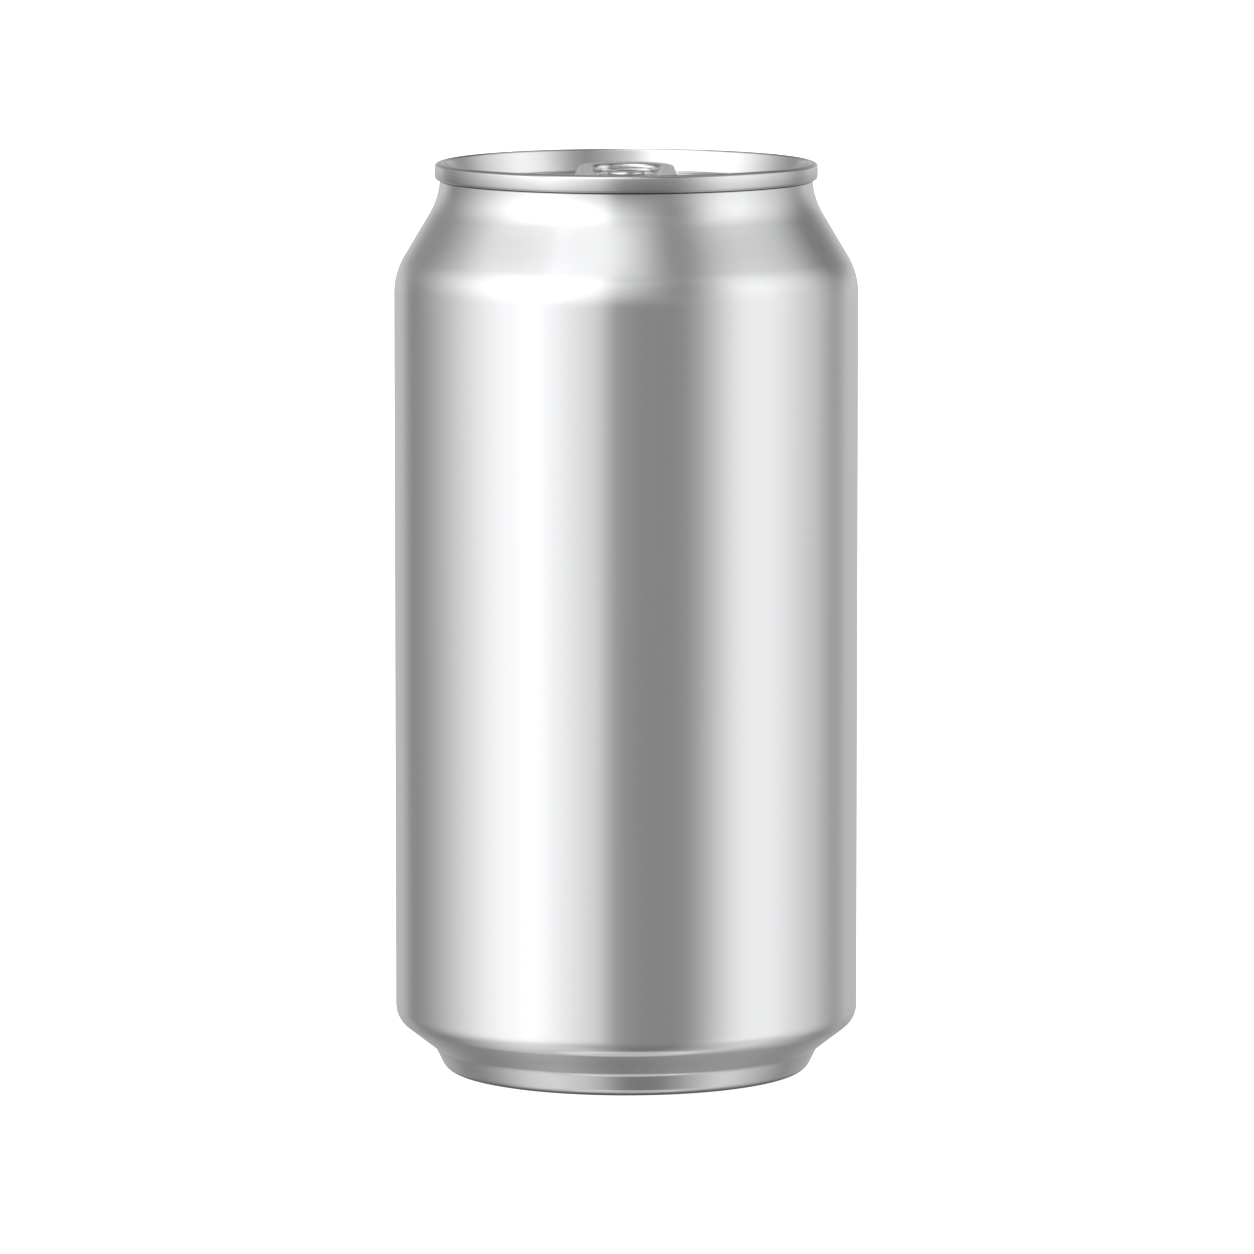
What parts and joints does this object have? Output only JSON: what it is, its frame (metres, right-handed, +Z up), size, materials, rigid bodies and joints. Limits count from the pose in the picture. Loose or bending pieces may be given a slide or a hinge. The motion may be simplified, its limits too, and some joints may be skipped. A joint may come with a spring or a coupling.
{
  "type": "drinks can",
  "caption": "Plain aluminium drinks can, sealed and full, with a necked top, domed base and stay-on pull tab.",
  "frame": {"origin": "centre of the stand ring, on the surface the can stands on", "axes": "+Z up along the can's axis; -Y is the front, where the opening panel and the tab's nose are; +Y is the tab's finger end"},
  "size_m": [0.0662, 0.0662, 0.1305],
  "materials": {
    "can_body": "satin bare aluminium with faint upright ironing lines",
    "can_lid": "satin bare aluminium with a faint rolled grain",
    "tab": "bright satin bare aluminium"
  },
  "bodies": {
    "root": {"can_body": "can_body", "can_lid": "can_lid", "tab": "tab"}
  },
  "joints": []
}
